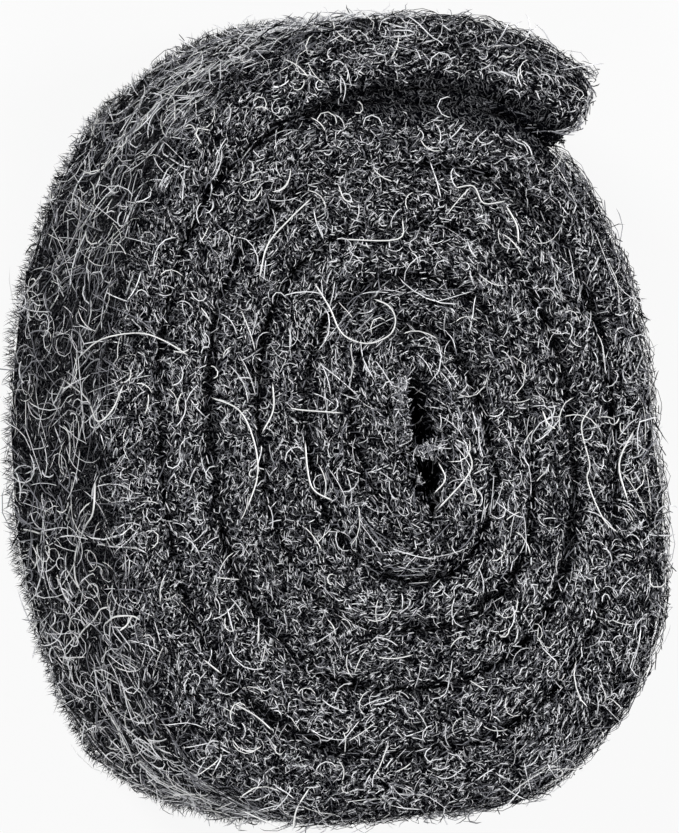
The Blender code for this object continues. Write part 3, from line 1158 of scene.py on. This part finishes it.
def on_tail(share, height, rise):
    """Places on the rounded cut end of the tail, standing off it by rise."""
    inner, outer = strip_faces(np.full(share.shape, TURNS))
    across = outer - inner
    forward = np.stack([across[..., 1], -across[..., 0]], axis=-1)
    forward = forward / np.linalg.norm(forward, axis=-1, keepdims=True)
    aside = np.clip((np.abs(2 * share - 1) - END_SHARE) / (1 - END_SHARE), 0, TAIL_EDGE_CUT)
    back = TAIL_ROUND * (1 - np.sqrt(1 - aside**2))
    return with_height(inner + across * share[..., None] + forward * (rise - back)[..., None], height)


def lay_tail_fibres():
    count = TAIL_FIBRE_COUNT
    share = rng.uniform(*TAIL_ACROSS, count)
    height = STRIP_WIDTH - (STRIP_WIDTH - FOOT_MARGIN) * rng.random(count) ** TAIL_CROWDING
    length = mixed_lengths(*TAIL_FIBRE_LENGTHS, count)
    sideways, upward = bent_line(length, FUZZ_BEND, FUZZ_STATIONS)
    stand = length * rng.uniform(*TAIL_FIBRE_STAND, count)
    rise = rng.uniform(*TAIL_FIBRE_LAYER, count)[:, None] + stand[:, None] * (FUZZ_STATIONS + 0.5)
    shares = np.clip(share[:, None] + sideways / TAIL_THICKNESS, 0, 1)
    heights = np.clip(height[:, None] + upward, FLOOR_CLEARANCE, STRIP_WIDTH + TAIL_OVER_TOP)
    on_cut = on_tail(shares, heights, rise)

    winding = TURNS - TAIL_INNER_SPAN * rng.random(count)
    height = STRIP_WIDTH - TAIL_INNER_TOP - TAIL_INNER_DEPTH * rng.random(count)
    along, upward = bent_line(length, FUZZ_BEND, FUZZ_STATIONS)
    windings = np.minimum(windings_along(winding, along), TURNS)
    heights = np.minimum(height[:, None] + upward, STRIP_WIDTH)
    inner_side = np.zeros(windings.shape, dtype=bool)
    on_inner = on_face(windings, inner_side, heights, rise + tail_lobe(windings, heights))
    radii = rng.uniform(*TAIL_FIBRE_RADII, 2 * count)
    lit_shaded_or_coarse = np.concatenate([pick_lit_shaded_or_coarse(count, TAIL_SHARES), pick_lit_shaded_or_coarse(count, TAIL_INNER_SHADED_SHARES)])
    make_fibres("tail_fibres", np.concatenate([on_cut, on_inner]), radii, lit_shaded_or_coarse)


lay_tail_fibres()


# The fibres of the foot
# The lower cut edge is like the upper one, but the roll stands on it, so its fibres are pressed flat.

FOOT_FIBRE_COUNT = 2400
FOOT_FIBRE_LENGTHS = (0.0025, 0.4)
FOOT_FIBRE_RADII = (0.0000595, 0.000085)
FOOT_ACROSS = (0.1, 0.9)
FOOT_LAYER = (0.00008, 0.0006)


def lay_foot_fibres():
    count = FOOT_FIBRE_COUNT
    winding = strip_winding_for(rng.random(count))
    share = rng.uniform(*FOOT_ACROSS, count)
    length = mixed_lengths(*FOOT_FIBRE_LENGTHS, count)
    along, across = bent_line(length, END_FIBRE_BEND, FIBRE_STATIONS)
    paths = over_the_end(winding, share, np.zeros(count), along, across, np.zeros_like(along))
    paths[..., 2] = rng.uniform(*FOOT_LAYER, count)[:, None]
    make_fibres("foot_fibres", paths, rng.uniform(*FOOT_FIBRE_RADII, count), pick_lit_shaded_or_coarse(count))


lay_foot_fibres()


# The loose strands
# Here and there a coarser shaving has worked loose and lies over the others, in long bright bends. The best
# seen are laid through the pixels where the photograph shows them, and smaller ones lie scattered over the
# upper end.

STRAND_RADII = (0.000128, 0.000184)
END_STRAND_RISE = 0.0007
SIDE_STRAND_RISE = 0.0012
OVER_END_REACH = 0.0050
STRAND_STEPS = 5
SCATTERED_STRANDS = 320
SCATTERED_LENGTHS = (0.0042, 0.35)
SCATTERED_RADII = (0.000088, 0.000132)
SCATTERED_BEND = 2.2
SCATTERED_SLOPE = 0.05
SCATTERED_LAYER = (0.0002, 0.0006)
SCATTERED_TURNS = (0.3, TURNS - 0.04)
SCATTERED_BRIGHT = 0.6
STRANDS_IN_PHOTO = (
    ((78, 358), (102, 339), (139, 333), (165, 341), (189, 356)),
    ((61, 378), (87, 399), (98, 421), (113, 410), (124, 384)),
    ((211, 397), (239, 410), (254, 440), (258, 475), (247, 510)),
    ((306, 440), (308, 471), (314, 490), (334, 501)),
    ((291, 408), (304, 410), (345, 413)),
    ((273, 382), (274, 410), (262, 434)),
    ((314, 282), (330, 308), (340, 330), (353, 340), (372, 343), (392, 334), (397, 319), (390, 306),
     (375, 299)),
    ((143, 78), (156, 91), (173, 98), (175, 121)),
    ((260, 280), (269, 245), (291, 219), (314, 197)),
    ((340, 239), (398, 239), (403, 218)),
    ((340, 184), (346, 199), (355, 202)),
    ((455, 188), (474, 186), (484, 203), (506, 201)),
    ((506, 205), (517, 225), (519, 244)),
    ((405, 431), (420, 421), (437, 414)),
    ((435, 513), (470, 472), (468, 449)),
    ((439, 462), (446, 479), (435, 494)),
    ((543, 410), (548, 423), (556, 429)),
    ((591, 408), (582, 427), (591, 464), (589, 481), (604, 518), (619, 533)),
    ((636, 429), (621, 464), (630, 503)),
    ((204, 659), (223, 674)),
    ((234, 703), (256, 716), (273, 731)),
    ((217, 805), (241, 787)),
    ((293, 831), (297, 809), (310, 787)),
    ((163, 809), (195, 811), (239, 809), (288, 831)),
    ((96, 480), (94, 512), (85, 527), (76, 552), (75, 575), (80, 590)),
    ((41, 659), (62, 658), (86, 657)),
    ((75, 645), (82, 632), (94, 620), (100, 610), (109, 607)),
    ((56, 572), (62, 590), (69, 605)),
    ((105, 624), (115, 617), (132, 616), (140, 620)),
    ((120, 631), (127, 625), (132, 615)),
    ((20, 529), (32, 531), (41, 534)),
    ((66, 521), (69, 512), (72, 504)),
)


def seen_place(pixel):
    """The place that the photograph shows at a pixel: over the upper end, or else on the side."""
    start, sight = pixel_ray(pixel)
    level = (STRIP_WIDTH + END_STRAND_RISE - start.z) / sight.z
    over_end = start + sight * level
    if felt_tree.find_nearest(over_end)[3] < OVER_END_REACH:
        over_end.z -= float(tuft_drop(over_end))
        return over_end
    place = felt_tree.ray_cast(start, sight)[0]
    if place is None:
        return None
    return place - sight * SIDE_STRAND_RISE


def smooth_path(points, steps):
    """A Catmull-Rom curve through the points."""
    points = np.array(points)
    ends = np.vstack([2 * points[0] - points[1], points, 2 * points[-1] - points[-2]])
    path = []
    for before, start, end, after in zip(ends, ends[1:], ends[2:], ends[3:]):
        for share in np.arange(steps) / steps:
            path.append(0.5 * (2 * start + (end - before) * share
                               + (2 * before - 5 * start + 4 * end - after) * share**2
                               + (3 * start - before - 3 * end + after) * share**3))
    path.append(points[-1])
    return np.array(path)


def lay_strands():
    paths = []
    for strand in STRANDS_IN_PHOTO:
        places = [seen_place(pixel) for pixel in strand]
        places = [place for place in places if place is not None]
        if len(places) > 1:
            paths.append(smooth_path(places, STRAND_STEPS))
    radii = list(rng.uniform(*STRAND_RADII, len(paths)))

    count = SCATTERED_STRANDS
    length = mixed_lengths(*SCATTERED_LENGTHS, count)
    along, across = bent_line(length, SCATTERED_BEND, LONG_STATIONS)
    climb = tilt(length, SCATTERED_SLOPE, LONG_STATIONS)
    winding = np.clip(strip_winding_for(rng.random(count)), *SCATTERED_TURNS)
    share = rng.random(count)
    rise = rng.uniform(*SCATTERED_LAYER, count)
    paths.extend(over_the_end(winding, share, rise, along, across, climb))
    radii.extend(rng.uniform(*SCATTERED_RADII, count))
    coarse = np.arange(len(paths)) < len(paths) - SCATTERED_BRIGHT * count
    make_fibres("loose_strands", paths, radii, np.where(coarse, COARSE_FINISH, PAINTED_LIT_SLOT))


lay_strands()


# The stage
# A plain white floor and plain soft light, as in the photograph. Neither is part of the roll.

FLOOR_SIZE = 6.0
FLOOR_WHITE = (0.6, 0.6, 0.6, 1)
FLOOR_ROUGHNESS = 0.9
WORLD_LIGHT = 0.12
WORLD_WHITE = (1, 1, 1, 1)
SHADOW_SHARE = 0.09
LAMPS = (
    ("left_lamp", (-0.80, 0.65, 0.95), 0.30, 13.0),
    ("right_lamp", (0.95, 0.25, 0.90), 0.30, 8.2),
    ("near_lamp", (-0.10, -1.05, 0.90), 0.30, 7.2),
)


def seen_background(tree):
    """1 for a ray that shows the background: from the camera, or by way of a shiny or clear surface."""
    rays = tree.nodes.new("ShaderNodeLightPath")
    shown = rays.outputs["Is Camera Ray"]
    for name in ("Is Glossy Ray", "Is Transmission Ray"):
        shown = add_math(tree, "MAXIMUM", shown, rays.outputs[name])
    return shown


def mix_shaders(tree, share, first, second, output):
    """The output node gets a mix of two shaders, with this share of the second."""
    blend = tree.nodes.new("ShaderNodeMixShader")
    connect(tree, (share, blend.inputs["Fac"]), (first.outputs[0], blend.inputs[1]),
            (second.outputs[0], blend.inputs[2]), (blend.outputs[0], output.inputs["Surface"]))


def make_floor():
    bm = bmesh.new()
    bmesh.ops.create_grid(bm, x_segments=1, y_segments=1, size=FLOOR_SIZE / 2)
    mesh = mesh_from(bm, "floor")
    floor = add_object("floor", mesh)
    material, shader = new_material("white_floor", FLOOR_ROUGHNESS)
    tree = material.node_tree
    shader.inputs["Base Color"].default_value = FLOOR_WHITE
    white = tree.nodes.new("ShaderNodeEmission")
    seen = add_math(tree, "MULTIPLY", seen_background(tree), 1 - SHADOW_SHARE)
    mix_shaders(tree, seen, shader, white, tree.nodes["Material Output"])
    mesh.materials.append(material)


def make_world():
    world = bpy.data.worlds.new("studio")
    bpy.context.scene.world = world
    world.use_nodes = True
    tree = world.node_tree
    light = tree.nodes["Background"]
    light.inputs["Color"].default_value = WORLD_WHITE
    light.inputs["Strength"].default_value = WORLD_LIGHT
    white = tree.nodes.new("ShaderNodeBackground")
    white.inputs["Color"].default_value = WORLD_WHITE
    mix_shaders(tree, seen_background(tree), light, white, tree.nodes["World Output"])


def add_lamp(name, place, size, power):
    data = bpy.data.lights.new(name, "AREA")
    data.shape = "SQUARE"
    data.size = size
    data.energy = power
    lamp = add_object(name, data)
    lamp.location = place
    lamp.rotation_euler = (Vector(place) - Vector((0, 0, STRIP_WIDTH))).to_track_quat("Z", "Y").to_euler()


make_floor()
make_world()
for lamp in LAMPS:
    add_lamp(*lamp)
bpy.context.scene.view_settings.view_transform = "Standard"
